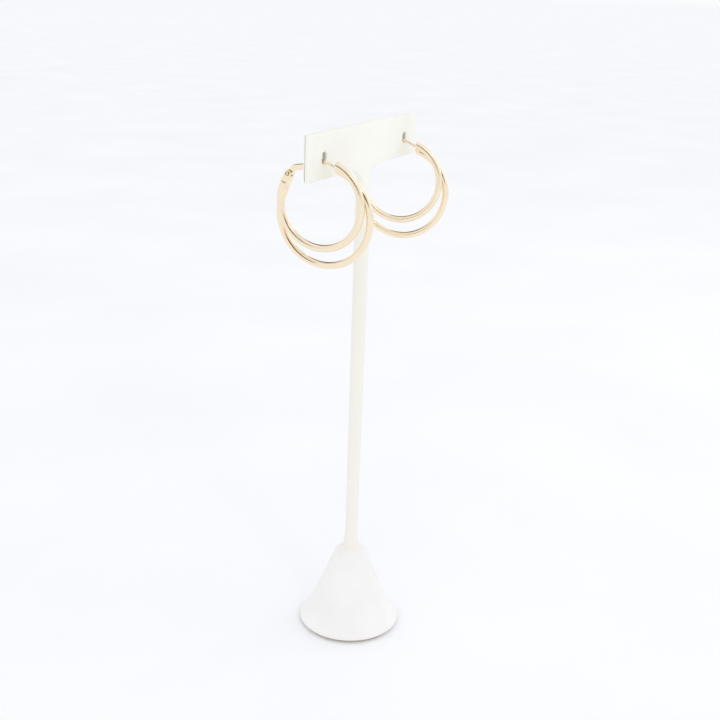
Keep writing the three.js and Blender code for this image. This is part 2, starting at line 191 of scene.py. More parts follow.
class StudioSettings(bpy.types.PropertyGroup):
    """Camera, room light and floor."""

    azimuth: value("Camera's place in degrees, where 0 looks along +Y", -65.36)
    elevation: value("Camera's degrees above the horizon", 18.92)
    roll: value("Turn of the picture in degrees", 2.05)
    distance: value("Distance from the camera to its target", 332.16)
    target_right: value("Target's shift along the picture's right", 0.81)
    target_height: value("Height of the target", 90.64)
    focal_pixels: value("Focal length in pixels of the square picture", 1082.05)
    picture: IntProperty(name="Side of the square picture in pixels", default=720)
    world: colour("Colour of the room's light", (0.97, 0.98, 1.0))
    world_strength: value("Strength of the room's light", 0.99)
    floor: colour("Pale floor", (0.962, 0.966, 0.985))


# Surfaces


def round_angles(count):
    """Angles that divide a full turn evenly."""
    return np.arange(count) * TURN / count


def unit(angle):
    """Points (cos, sin) on a circle of radius 1."""
    return np.stack([np.cos(angle), np.sin(angle)], axis=-1)


def share_of(value, start, end):
    """How far a value has come from start to end, between 0 and 1."""
    return np.clip((value - start) / (end - start), 0, 1)


def ease(share):
    """Soft step: it starts and ends level."""
    return share ** 2 * (3 - 2 * share)


def rounding_loss(distance, rounding):
    """How much a rounded end takes off the radius at a distance from the end."""
    inside = 1 - share_of(distance, 0, rounding)
    return rounding * (1 - np.sqrt(np.maximum(0, 1 - inside ** 2)))


def grid_quads(rows, columns):
    """Quads between neighbouring points of closed rings that are stored one after another."""
    row, column = np.meshgrid(np.arange(rows - 1), np.arange(columns), indexing="ij")
    beside = (column + 1) % columns
    quads = np.stack([row * columns + column, row * columns + beside,
                      (row + 1) * columns + beside, (row + 1) * columns + column], axis=-1)
    return quads.reshape(-1, 4)


def fan(hub, ring):
    """Triangles from a hub point to each side of a closed ring."""
    return np.stack([np.full(len(ring), hub), ring, np.roll(ring, -1)], axis=-1)


def closed_tube(rings):
    """A stack of rings, closed at both ends by a fan to the mean of the last ring."""
    rows, columns, _ = rings.shape
    points = np.concatenate([rings.reshape(-1, 3), rings[:1].mean(axis=1), rings[-1:].mean(axis=1)])
    first = np.arange(columns)
    last = first + (rows - 1) * columns
    faces = grid_quads(rows, columns).tolist()
    faces += fan(rows * columns, first[::-1]).tolist()
    faces += fan(rows * columns + 1, last).tolist()
    return points, faces


def closed_ring(rings):
    """A stack of rings whose last one joins the first, as on a washer."""
    rows, columns, _ = rings.shape
    faces = grid_quads(rows + 1, columns) % (rows * columns)
    return rings.reshape(-1, 3), faces.tolist()


def revolve(profile, angles, dent=None):
    """Points of a profile (radius, height) carried round the Z axis: x = r cos a, y = r sin a.

    dent(angle, height) is taken off the radius."""
    radius, height = profile[:, :1], profile[:, 1:]
    around = angles[None, :]
    if dent is not None:
        radius = radius - dent(around, height) * (radius > 0)
    return np.stack(np.broadcast_arrays(radius * np.cos(around), radius * np.sin(around), height), axis=-1)


def quadratic(start, control, end, count):
    """Points of a quadratic curve: (1-t)^2 start + 2t(1-t) control + t^2 end."""
    t = np.linspace(0, 1, count)[:, None]
    return (1 - t) ** 2 * np.array(start) + 2 * t * (1 - t) * np.array(control) + t ** 2 * np.array(end)


def straight(start, end, count):
    """Points on a straight line."""
    t = np.linspace(0, 1, count)[:, None]
    return np.array(start) + t * (np.array(end) - np.array(start))


def arc(centre, radius, start, end, count):
    """Points round a centre, from one angle in degrees to another."""
    return np.array(centre) + radius * unit(np.radians(np.linspace(start, end, count)))


def without_repeats(points):
    """The same path with points that stand on the one before taken out."""
    keep = np.r_[True, np.linalg.norm(np.diff(points, axis=0), axis=1) > 1e-6]
    return points[keep]


def sweep(path, radii, sides):
    """Round bar along a path in the YZ plane. A ring's points are path + r cos a X + r sin a N, where
    N is X crossed with the path's direction."""
    ahead = np.gradient(path, axis=0)
    ahead /= np.linalg.norm(ahead, axis=1, keepdims=True)
    across = np.array([1.0, 0.0, 0.0])
    normal = np.cross(across, ahead)
    a = round_angles(sides)[None, :, None]
    r = radii[:, None, None]
    return path[:, None] - r * np.cos(a) * across + r * np.sin(a) * normal[:, None]


def rounded_ends(travel, radius, rounding):
    """Radii along a bar whose ends are rounded: a quarter circle of the given radius at each end."""
    return radius - rounding_loss(travel, rounding) - rounding_loss(travel[-1] - travel, rounding)


def end_weighted(count, ends):
    """Values from 0 to 1 with extra ones close to both ends."""
    close = np.linspace(0, 1, ends) ** 2
    inner = np.linspace(0, 1, count)
    edge = inner[1]
    return np.unique(np.concatenate([close * edge, inner, 1 - close * edge]))


# Earring curves, as (Y, Z) in the earring's own frame


class Earring:
    """Places that follow from the earring's sizes."""

    def __init__(self, size, stand):
        self.size = size
        wire_radius = size.wire_diameter / 2
        self.wire_top = np.array([0, -stand.hole_diameter / 2 + wire_radius + size.rest_gap])
        self.large = np.array([-size.large_forward, self.wire_top[1] - size.large_drop - size.large_radius])
        self.small = np.array([
            self.large[0] + size.small_back,
            self.large[1] - size.large_radius + size.tube_spread + size.small_radius])
        self.tube_offset = (size.tube_diameter - size.solder_depth) / 2
        self.hinge = self.on_ring(self.small, size.small_radius + size.hinge_outset, size.hinge_angle)
        self.back_height = self.hinge[1] - size.hinge_reach
        self.mouth = self.between_tubes(-size.mouth_forward)
        self.tip = self.between_tubes(-size.mouth_forward - size.tip_depth)

    @staticmethod
    def on_ring(centre, radius, angle):
        """A point at an angle from the ring's top towards the back."""
        return centre + radius * unit(np.radians(90 - angle))

    def rings(self):
        """(centre, radius, place along X, bend of the back end) of the large and the small ring."""
        return ((self.large, self.size.large_radius, self.tube_offset, self.size.hinge_bend),
                (self.small, self.size.small_radius, -self.tube_offset, 0.0))

    def on_tube(self, centre, radius, bend, angle):
        """A point on a tube's middle line: on its ring, but bent back near its back end."""
        back = self.back_angle(centre, radius)
        near = 1 - share_of(angle, back, back + self.size.bend_angle)
        return self.on_ring(centre, radius, angle) + np.stack([bend * near ** 2, 0 * near], axis=-1)

    def back_angle(self, centre, radius):
        """Where a tube ends at the back, in degrees round its ring."""
        return math.degrees(math.acos((self.back_height - centre[1]) / radius))

    def front_angle(self, centre, radius, y):
        """Where a ring comes to a place along Y near its front end, in degrees from its top."""
        return math.degrees(math.asin((y - centre[0]) / radius))

    def between_tubes(self, y):
        """Half way between the two middle lines, near their front ends."""
        ends = [self.on_ring(c, r, self.front_angle(c, r, y)) for c, r, _, _ in self.rings()]
        return (ends[0] + ends[1]) / 2

    def wire_stations(self, drop):
        """The points that the ear wire passes, from the hinge to the tip."""
        size = self.size
        return np.array([
            self.hinge,
            (size.shoulder_back, self.wire_top[1] - size.shoulder_drop),
            (size.knee_back, self.wire_top[1] - size.knee_drop),
            (0.0, self.wire_top[1] + drop),
            self.tip,
        ])


def smooth_path(stations, count):
    """Centripetal Catmull-Rom curve through the stations: each stretch is a cubic whose end slopes
    come from its neighbours, weighed by the square roots of the distances."""
    ends = np.concatenate([[2 * stations[0] - stations[1]], stations, [2 * stations[-1] - stations[-2]]])
    out = []
    for i in range(len(stations) - 1):
        p0, p1, p2, p3 = ends[i:i + 4]
        d0, d1, d2 = (np.sqrt(np.linalg.norm(b - a)) for a, b in ((p0, p1), (p1, p2), (p2, p3)))
        m1 = ((p1 - p0) / d0 - (p2 - p0) / (d0 + d1) + (p2 - p1) / d1) * d1
        m2 = ((p2 - p1) / d1 - (p3 - p1) / (d1 + d2) + (p3 - p2) / d2) * d1
        t = np.linspace(0, 1, count, endpoint=i == len(stations) - 2)[:, None]
        out.append(p1 + m1 * t + (3 * (p2 - p1) - 2 * m1 - m2) * t ** 2 + (2 * (p1 - p2) + m1 + m2) * t ** 3)
    return np.concatenate(out)


def travel_along(path):
    """Distance that has been covered at each point of a path."""
    return np.r_[0, np.cumsum(np.linalg.norm(np.diff(path, axis=0), axis=1))]


def in_plane(points, x=0.0):
    """(Y, Z) points set into the earring's frame at a place along X."""
    return np.concatenate([np.full((len(points), 1), x), points], axis=1)


def ring_tube(earring, centre, radius, x, bend):
    """One tube: a circle carried along its ring, with softly rounded ends."""
    size = earring.size
    steps, end_steps, end_rounding = 420, 9, 0.22
    back = earring.back_angle(centre, radius)
    front = 360 + earring.front_angle(centre, radius, -size.mouth_forward)
    angles = back + (front - back) * end_weighted(steps, end_steps)
    path = in_plane(earring.on_tube(centre, radius, bend, angles), x)
    radii = rounded_ends(travel_along(path), size.tube_diameter / 2, end_rounding)
    return closed_tube(sweep(path, radii, SIDES["tube"]))


def plate_with_eye(eye, root, eye_radius, root_radius, bore_radius, thickness, x, rounding=0.14):
    """Plate round an eye that runs out to a root, as the hull of two circles, with a bore in the eye.

    Its outline is the farthest hit of each ray from the eye's middle on the circles that lie between
    the two, and its section is carried round that outline from the bore over both faces."""
    ray = unit(round_angles(SIDES["eye"]))
    t = np.linspace(0, 1, 60)[:, None]
    centres = t * (root - eye)
    radii = eye_radius + t * (root_radius - eye_radius)
    along = centres @ ray.T
    inside = radii ** 2 - (centres ** 2).sum(axis=1, keepdims=True) + along ** 2
    reach = np.where(inside >= 0, along + np.sqrt(np.maximum(inside, 0)), 0).max(axis=0)
    half = thickness / 2
    section = [(0.0, half, 0.0), (0.5, half, 0.0)]
    for turn in np.radians(np.linspace(90, -90, 13)):
        side = 1 if turn >= 0 else -1
        level = side * (half - rounding) + rounding * math.sin(turn)
        section.append((1.0, level, rounding * (1 - math.cos(turn))))
    section += [(0.5, -half, 0.0), (0.0, -half, 0.0)]
    rings = []
    for share, level, inset in section:
        distance = bore_radius + share * (reach - bore_radius - inset)
        rings.append(in_plane(eye + distance[:, None] * ray, x + level))
    return closed_ring(np.array(rings))


def prism_along(start, end, outline):
    """An outline (across, outward) carried straight from start to end in the YZ plane."""
    run = (end - start) / np.linalg.norm(end - start)
    outward = np.array([run[1], -run[0]])
    rings = []
    for place in (start, end):
        flat = place + outline[:, 1:] * outward
        rings.append(np.concatenate([outline[:, :1], flat], axis=1))
    return closed_shape(np.array(rings))


def closed_shape(rings):
    """Two or more equal outlines in a row, closed at both ends by one face each."""
    rows, columns, _ = rings.shape
    faces = grid_quads(rows, columns).tolist()
    faces.append(np.arange(columns)[::-1].tolist())
    faces.append((np.arange(columns) + (rows - 1) * columns).tolist())
    return rings.reshape(-1, 3), faces


def hang_matrix(stand, side, hang):
    """The earring's place: turned about Z, leaned about Y and swung about X at the hole's middle."""
    turn, lean, swing, drop = hang
    x = {"left": -1, "right": 1}[side] * stand.hole_spacing / 2
    place = Matrix.Translation((x, 0, stand.tag_top - stand.hole_below_top - drop))
    turns = [Matrix.Rotation(math.radians(angle), 4, axis)
             for angle, axis in ((turn, "Z"), (-lean, "Y"), (swing, "X"))]
    return np.array(place @ turns[0] @ turns[1] @ turns[2])


# Pieces


def new_mesh(name, points, faces, materials):
    """Mesh in metres from points in millimetres."""
    mesh = bpy.data.meshes.new(name)
    mesh.from_pydata((points * MM).tolist(), [], faces)
    for material in materials:
        mesh.materials.append(material)
    return mesh


def add_object(name, data):
    """Object at the origin, linked to the scene."""
    item = bpy.data.objects.new(name, data)
    bpy.context.scene.collection.objects.link(item)
    return item


def add_piece(name, shapes, materials, body, nodes, place=None, smooth_angle=40, shade=None):
    """Joins closed shapes into one mesh object, in metres, that rides on a body."""
    points, faces, start = [], [], 0
    for shape_points, shape_faces in shapes:
        points.append(shape_points)
        faces += [[index + start for index in face] for face in shape_faces]
        start += len(shape_points)
    points = np.concatenate(points)
    if place is not None:
        points = points @ place[:3, :3].T + place[:3, 3]
    mesh = new_mesh(name, points, faces, materials)
    if shade is not None:
        mesh.polygons.foreach_set("material_index", shade)
    finish_mesh(mesh, smooth_angle)
    piece = add_object(name, mesh)
    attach(piece, body)
    if nodes:
        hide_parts(*nodes)
    return piece


def finish_mesh(mesh, smooth_angle):
    """Turns every face outwards and shades it smooth, with sharp edges past an angle."""
    shape = bmesh.new()
    shape.from_mesh(mesh)
    bmesh.ops.remove_doubles(shape, verts=shape.verts, dist=1e-8)
    bmesh.ops.recalc_face_normals(shape, faces=shape.faces)
    shape.to_mesh(mesh)
    shape.free()
    mesh.polygons.foreach_set("use_smooth", [True] * len(mesh.polygons))
    mesh.set_sharp_from_angle(angle=math.radians(smooth_angle))
    mesh.update()


def foot_board(stand):
    """Board with a slightly rounded rim."""
    r = stand.pad_diameter / 2
    soft = 0.15
    profile = without_repeats(np.concatenate([
        [(0, 0)], arc((r - soft, soft), soft, -90, 0, 6),
        arc((r - soft, stand.pad_height - soft), soft, 0, 90, 6), [(0, stand.pad_height)]]))
    return revolve_closed(profile, SIDES["board"])


def revolve_closed(profile, sides, dent=None):
    """A revolved profile that starts and ends on the axis, closed there by fans."""
    points, faces = closed_tube(revolve(profile[1:-1], round_angles(sides), dent))
    points[-2] = (0, 0, profile[0, 1])
    points[-1] = (0, 0, profile[-1, 1])
    return points, faces


def back_seam(stand, radius_at):
    """Dent of a seam that runs up the back, as a bell of the seam's width at the angle of +Y. It
    begins above the rolled rim."""
    begin = stand.pad_height + 1.0
    full = begin + 0.4

    def dent(angle, height):
        off = (angle - math.pi / 2) * radius_at(height)
        bell = np.exp(-(off / (0.5 * stand.seam_width)) ** 2)
        return 0.6 * stand.seam_depth * bell * share_of(height, begin, full)
    return dent


def base_cone(stand):
    """Cone with a rolled rim, a spread flare and a rounded shoulder."""
    rim, low = stand.rim_diameter / 2, stand.pad_height
    top, shoulder = stand.cone_top_diameter / 2, stand.shoulder_diameter / 2
    waist = rim - stand.flare_inset
    waist_height = low + stand.rim_height + stand.flare_height
    roll = stand.rim_height / 2
    shoulder_low = stand.cone_top - stand.shoulder_height
    fold, fold_start, fold_end, near_axis = 0.12, 1.6, 1.4, 1.0
    profile = without_repeats(np.concatenate([
        [(0, low + fold)], straight((rim - fold_start, low + fold), (rim - fold_end, low), 3),
        arc((rim - roll, low + roll), roll, -90, 62, 18),
        quadratic((rim - 0.35 * roll, low + 1.86 * roll),
                  (waist + 0.4 * stand.flare_inset, low + stand.rim_height + 0.3 * stand.flare_height),
                  (waist, waist_height), 40),
        straight((waist, waist_height), (shoulder, shoulder_low), 60),
        quadratic((shoulder, shoulder_low), (top + 0.75 * (shoulder - top), stand.cone_top),
                  (top, stand.cone_top), 24),
        straight((top, stand.cone_top), (near_axis, stand.cone_top), 4), [(0, stand.cone_top)]]))
    slope = profile[5:-5]
    seam = back_seam(stand, lambda height: np.interp(height, slope[:, 1], slope[:, 0]))
    return revolve_closed(profile, SIDES["cone"], seam)


def stem_cover(stand):
    """Round stem that spreads at its foot and flattens into the tag's plane at its neck.

    Each ring is a superellipse, x = a sgn(cos)|cos|^p and y = b sgn(sin)|sin|^p, whose power falls from
    1 on the round stem as the neck flattens."""
    bottom = stand.cone_top - 0.05
    tag_bottom = stand.tag_top - stand.tag_height
    neck_low = tag_bottom - stand.neck_height
    neck_top = tag_bottom + 0.6
    foot_top = bottom + stand.stem_foot_height
    dense_from, flat_from = neck_low - 8, neck_low - 6
    skirt_height, skirt_width = 0.5, 0.35
    inside_tag, seam_reach = 0.02, 0.16
    heights = np.concatenate([
        np.linspace(bottom, foot_top, 40, endpoint=False),
        np.linspace(foot_top, dense_from, 60, endpoint=False),
        np.linspace(dense_from, neck_low, 16, endpoint=False),
        neck_low + (neck_top - neck_low) * np.sin(np.linspace(0, 1, 48) * math.pi / 2),
    ])
    up = share_of(heights, bottom, tag_bottom)
    radius = (stand.stem_bottom_diameter + up * (stand.stem_top_diameter - stand.stem_bottom_diameter)) / 2
    foot = 1 - share_of(heights, bottom, foot_top)
    radius = radius + (stand.stem_foot_diameter - stand.stem_bottom_diameter) / 2 * foot ** 2
    radius = radius + skirt_width * (1 - share_of(heights, bottom, bottom + skirt_height)) ** 2
    rise = share_of(heights, neck_low, tag_bottom)
    spread = 1 - np.sqrt(np.maximum(0, 1 - rise ** 2))
    half_width = radius + (stand.neck_width / 2 - radius) * spread
    flatten = ease(share_of(heights, flat_from, tag_bottom))
    half_depth = radius + (stand.tag_thickness / 2 - inside_tag - radius) * flatten
    power = 1 - 0.68 * np.clip(rise * 1.4, 0, 1) ** 0.8
    a = round_angles(SIDES["stem"])[None, :]
    cos, sin = np.cos(a), np.sin(a)
    seam = 0.5 * stand.seam_depth * np.exp(-((a - math.pi / 2) * radius[:, None] / seam_reach) ** 2)
    seam = seam * (1 - rise[:, None]) * (1 - foot[:, None] ** 4)
    x = half_width[:, None] * np.sign(cos) * np.abs(cos) ** power[:, None]
    y = (half_depth[:, None] - seam) * np.sign(sin) * np.abs(sin) ** power[:, None]
    z = np.broadcast_to(heights[:, None], x.shape)
    return closed_tube(np.stack([x, y, z], axis=-1))


def tag_outline(stand, inset):
    """Rounded rectangle (x, z) of the tag; the inset moves the whole outline straight inwards."""
    half = np.array([stand.tag_length, stand.tag_height]) / 2
    r = stand.tag_corner_radius
    corners = ((1, 1), (-1, 1), (-1, -1), (1, -1))
    turns = [arc(corner * (half - r), r - inset, 90 * number, 90 * number + 90, 13)
             for number, corner in enumerate(corners)]
    return np.concatenate(turns) + (0, stand.tag_top - half[1])


def edge_section(stand, seam):
    """(inset, y) of the covered edge from the front face round to the back face. A seam is a groove
    near the back edge where the back sheet of the covering ends."""
    half, e = stand.tag_thickness / 2, stand.tag_edge_rounding
    turn = np.radians(np.linspace(0, 90, 7))
    front = np.stack([e * (1 - np.sin(turn)), -half + e * (1 - np.cos(turn))], axis=-1)
    back = front[::-1] * (1, -1)
    middle = half - e - 0.02
    w, d = stand.seam_width / 2, stand.seam_depth
    groove = [(0, middle - 1.3 * w), (0.35 * d, middle - w), (d, middle - 0.55 * w),
              (d, middle - 0.1 * w), (0.3 * d, middle + 0.1 * w)]
    lip, recess = 1.6 * e, 0.1
    wall = [(0, lip - half), (recess, lip - half), (recess, half - 1.1 * e), (0, half - 1.1 * e)]
    return np.concatenate([front, groove if seam else wall, back[1:] if seam else back])


def loop_band(loops, levels):
    """Points of a closed outline at each level along Y, as rings."""
    rings = [np.stack([loop[:, 0], np.full(len(loop), y), loop[:, 1]], axis=-1)
             for loop, y in zip(loops, levels)]
    return np.array(rings)


def tag_cover(stand):
    """The tag: both faces filled between the outline and the holes, and rounded bands round the
    outline and through the holes. Returns the shape and a material number for each face, which is
    1 deep in the seam and 2 inside the holes."""
    section = edge_section(stand, seam=True)
    rim = loop_band([tag_outline(stand, inset) for inset, _ in section], section[:, 1])
    bands = [rim]
    hole_height = stand.tag_top - stand.hole_below_top
    hole_section = edge_section(stand, seam=False)
    around = unit(round_angles(SIDES["hole"]))
    for side in (-1, 1):
        middle = np.array([side * stand.hole_spacing / 2, hole_height])
        loops = [middle + (stand.hole_diameter / 2 + inset) * around for inset, _ in hole_section]
        bands.append(loop_band(loops, hole_section[:, 1]))
    shape = bmesh.new()
    front_edges, back_edges = [], []
    for number, rings in enumerate(bands):
        rows, columns, _ = rings.shape
        # Rows deep in a band take a darker material: glue with painted shade in the seam's groove, painted
        # shade on the holes' walls
        first_deep, tone = (8, 1) if number == 0 else (7, 2)
        verts = [shape.verts.new(point) for point in rings.reshape(-1, 3)]
        for row, quad in enumerate(grid_quads(rows, columns)):
            face = shape.faces.new([verts[i] for i in quad])
            face.material_index = tone if first_deep <= row // columns <= 9 else 0
        for store, row in ((front_edges, 0), (back_edges, rows - 1)):
            for column in range(columns):
                pair = (verts[row * columns + column], verts[row * columns + (column + 1) % columns])
                store.append(shape.edges.get(pair))
    for edges in (front_edges, back_edges):
        bmesh.ops.triangle_fill(shape, edges=edges, use_beauty=True, use_dissolve=False)
    shape.verts.index_update()
    points = np.array([vert.co[:] for vert in shape.verts])
    faces = [[vert.index for vert in face.verts] for face in shape.faces]
    shade = [face.material_index for face in shape.faces]
    shape.free()
    return (points, faces), shade


# Materials


# Roughness and strength of the hair scratches of each gold
GOLDS = {"Polished_gold": (0.07, 0.4), "Satin_gold": (0.22, 0.6), "Soldered_gold": (0.12, 0.8),
         "Catch_gold": (0.12, 0.8), "Wire_gold": (0.09, 0.5)}


def new_material(name, base, roughness, metallic=0.0):
    material = bpy.data.materials.new(name)
    material.use_nodes = True
    shader = material.node_tree.nodes["Principled BSDF"]
    shader.inputs["Base Color"].default_value = (*base, 1)
    shader.inputs["Roughness"].default_value = roughness
    shader.inputs["Metallic"].default_value = metallic
    return material, material.node_tree, shader


def add_node(tree, kind, **values):
    """A node with its sockets set by name; spaces in a socket's name are written as _."""
    node = tree.nodes.new(kind)
    for name, value in values.items():
        node.inputs[name.replace("_", " ")].default_value = value
    return node


def object_place(tree, scale=(1, 1, 1)):
    """Object coordinates, stretched by a scale."""
    place = tree.nodes.new("ShaderNodeTexCoord")
    mapping = add_node(tree, "ShaderNodeMapping", Scale=scale)
    tree.links.new(place.outputs["Object"], mapping.inputs["Vector"])
    return mapping.outputs["Vector"]


def noise(tree, place, scale, detail=3.0, roughness=0.5):
    """Cloudy value; the scale counts its clouds in a metre."""
    node = add_node(tree, "ShaderNodeTexNoise", Scale=scale, Detail=detail, Roughness=roughness)
    tree.links.new(place, node.inputs["Vector"])
    return node.outputs["Fac"]


def cells(tree, place, scale):
    """Distance from the edges of small cells; the scale counts the cells in a metre."""
    node = add_node(tree, "ShaderNodeTexVoronoi", Scale=scale)
    node.feature = "DISTANCE_TO_EDGE"
    tree.links.new(place, node.inputs["Vector"])
    return node.outputs["Distance"]


def ramp(tree, value, stops):
    """Maps a value through colour stops (position, grey or colour)."""
    node = tree.nodes.new("ShaderNodeValToRGB")
    elements = node.color_ramp.elements
    while len(elements) < len(stops):
        elements.new(0.5)
    for element, (position, tone) in zip(elements, stops):
        element.position = position
        element.color = (*tone, 1) if np.ndim(tone) else (tone, tone, tone, 1)
    tree.links.new(value, node.inputs["Fac"])
    return node.outputs["Color"]


def drive(tree, shader, socket, value, stops):
    """Lets a value, mapped through colour stops, set a socket of the shader."""
    tree.links.new(ramp(tree, value, stops), shader.inputs[socket])


def combine(tree, first, second, mode="ADD"):
    """A value joined with a number or with another value."""
    node = tree.nodes.new("ShaderNodeMath")
    node.operation = mode
    tree.links.new(first, node.inputs[0])
    if isinstance(second, (int, float)):
        node.inputs[1].default_value = second
    else:
        tree.links.new(second, node.inputs[1])
    return node.outputs["Value"]


def add_bump(tree, shader, height, distance, strength):
    """Relief of a distance in millimetres."""
    node = add_node(tree, "ShaderNodeBump", Strength=strength, Distance=distance * MM)
    tree.links.new(height, node.inputs["Height"])
    tree.links.new(node.outputs["Normal"], shader.inputs["Normal"])


def leatherette(name, grain_cells, light, dark, low=None):
    """Covering: fine pebbled grain with soft folds, a little colour drift and a dull sheen."""
    material, tree, shader = new_material(name, light, 0.55)
    place = object_place(tree)
    drift = noise(tree, place, 55.0, 4.0, 0.55)
    grain = cells(tree, place, grain_cells)
    fold = noise(tree, object_place(tree, (1, 1, 0.35)), 420.0, 4.0, 0.6)
    tone = ramp(tree, drift, [(0.32, tuple(dark)), (0.6, tuple(light))])
    if low is not None:
        tone = darker_towards_foot(tree, place, tone, low)
    tree.links.new(tone, shader.inputs["Base Color"])
    drive(tree, shader, "Roughness", noise(tree, place, 900.0, 2.0), [(0.2, 0.46), (0.8, 0.64)])
    pebble = ramp(tree, grain, [(0.0, 0.0), (0.32, 1.0)])
    height = combine(tree, combine(tree, pebble, 0.45, "MULTIPLY"), combine(tree, fold, 0.9, "MULTIPLY"))
    add_bump(tree, shader, height, 0.05, 0.55)
    shader.inputs["Sheen Weight"].default_value = 0.12
    shader.inputs["Sheen Roughness"].default_value = 0.45
    shader.inputs["Specular IOR Level"].default_value = 0.4
    return material


def darker_towards_foot(tree, place, tone, low, change=(115, 150)):
    """Lets a tone pass into a low one between two heights in millimetres."""
    split = tree.nodes.new("ShaderNodeSeparateXYZ")
    tree.links.new(place, split.inputs["Vector"])
    fade = ramp(tree, split.outputs["Z"], [(height * MM, grey) for height, grey in zip(change, (0.0, 1.0))])
    mix = add_node(tree, "ShaderNodeMixRGB", Color1=(*low, 1))
    tree.links.new(fade, mix.inputs["Fac"])
    tree.links.new(tone, mix.inputs["Color2"])
    return mix.outputs["Color"]


def glue_and_painted_shade(name, tone):
    """Dark tone with blots for recesses: in the seam's bottom, board and dried glue darkened further as
    painted shade; inside the holes, painted shade.
    """
    material, tree, shader = new_material(name, tone, 0.8)
    blot = noise(tree, object_place(tree), 700.0, 4.0)
    dark = tuple(0.75 * value for value in tone)
    drive(tree, shader, "Base Color", blot, [(0.3, dark), (0.7, tuple(tone))])
    add_bump(tree, shader, blot, 0.04, 0.5)
    return material


def fibre_board_and_painted_shade(finish):
    """Grey-brown board with pressed fibres that lie flat; its tone is darkened further as painted shade, for
    the contact shadow under the cone's rim.
    """
    material, tree, shader = new_material("Foot_board", finish.board, 0.85)
    fibre = noise(tree, object_place(tree, (1, 1, 6)), 900.0, 6.0, 0.7)
    pale = tuple(min(1.0, 1.3 * value) for value in finish.board)
    drive(tree, shader, "Base Color", fibre, [(0.35, tuple(finish.board)), (0.7, pale)])
    add_bump(tree, shader, fibre, 0.06, 0.6)
    return material


def polished_gold(name, tint):
    """One of the golds, with a slightly uneven polish, drawn hair scratches and soft ripples."""
    roughness, scratch = GOLDS[name]
    material, tree, shader = new_material(name, tint, roughness, 1.0)
    place = object_place(tree)
    cloud = noise(tree, place, 260.0, 3.0, 0.6)
    drive(tree, shader, "Roughness", cloud, [(0.3, roughness * 0.7), (0.75, roughness * 1.5)])
    hairs = noise(tree, object_place(tree, (9, 1, 1)), 1400.0, 5.0, 0.7)
    ripple = noise(tree, place, 150.0, 2.0, 0.4)
    height = combine(tree, combine(tree, hairs, scratch, "MULTIPLY"), combine(tree, ripple, 3.0, "MULTIPLY"))
    add_bump(tree, shader, height, 0.01, 0.35)
    return material


def studio_floor(tint):
    """Pale floor, almost without marks."""
    material, tree, shader = new_material("Studio_floor", tint, 0.6)
    cloud = noise(tree, object_place(tree), 9.0, 4.0, 0.5)
    pale = tuple(min(1.0, 1.02 * value) for value in tint)
    dim = tuple(0.985 * value for value in tint)
    drive(tree, shader, "Base Color", cloud, [(0.3, dim), (0.7, pale)])
    add_bump(tree, shader, cloud, 0.5, 0.1)
    return material


# Operators


class BuildStep(bpy.types.Operator):
    """A step whose build function gets the scene."""

    bl_options = {"REGISTER", "UNDO"}

    def execute(self, context):
        self.build(context.scene)
        return {"FINISHED"}


def hung_earrings(scene):
    """Side, place, body and drop of each earring."""
    for side, hang in (("left", scene.hang_settings.left), ("right", scene.hang_settings.right)):
        yield side, hang_matrix(scene.stand_sizes, side, hang), f"{side}_hoop_body", hang[3]


class STAND_OT_foot_board(BuildStep):
    """Foot board under the cone"""

    bl_idname = "stand.foot_board"
    bl_label = "Foot Board"

    def build(self, scene):
        board = foot_board(scene.stand_sizes)
        add_piece("foot_board", [board], [fibre_board_and_painted_shade(scene.finish_settings)], "stand", ["stand_foot_pad"])


class STAND_OT_cover(BuildStep):
    """Covered cone, stem and tag"""

    bl_idname = "stand.cover"
    bl_label = "Covered Stand"

    def build(self, scene):
        stand, finish = scene.stand_sizes, scene.finish_settings
        grain, light, dark = finish.leather_grain, finish.leather, finish.leather_shade
        cover = leatherette("Cream_leatherette", grain, light, dark)
        stem = leatherette("Stem_leatherette", grain, light, dark, finish.low_stem)
        cone = leatherette("Cone_leatherette", grain, finish.cone_leather, finish.cone_shade)
        # Dark tones for the seam's groove (glue line with painted shade) and for the holes' deep walls
        # (painted shade)
        edges = [glue_and_painted_shade("Seam_glue_and_painted_shade", finish.seam), glue_and_painted_shade("Hole_painted_shade", finish.hole)]
        add_piece("cone_cover", [base_cone(stand)], [cone], "stand", ["stand_base"])
        add_piece("stem_cover", [stem_cover(stand)], [stem], "stand", ["stand_stem_and_tag"])
        shape, shade = tag_cover(stand)
        add_piece("tag_cover", [shape], [cover, *edges], "stand", [], smooth_angle=50,
                  shade=shade)


class EARRING_OT_tubes(BuildStep):
    """Two soldered tubes of each hoop"""

    bl_idname = "earring.tubes"
    bl_label = "Hoop Tubes"

    def build(self, scene):
        tint = scene.finish_settings.gold
        golds = [polished_gold("Polished_gold", tint), polished_gold("Satin_gold", tint)]
        earring = Earring(scene.earring_sizes, scene.stand_sizes)
        for side, place, body, _ in hung_earrings(scene):
            for name, ring, gold in zip(("large", "small"), earring.rings(), golds):
                nodes = [f"{side}_hoop"] if name == "large" else []
                shape = ring_tube(earring, *ring)
                add_piece(f"{side}_{name}_tube", [shape], [gold], body, nodes, place)


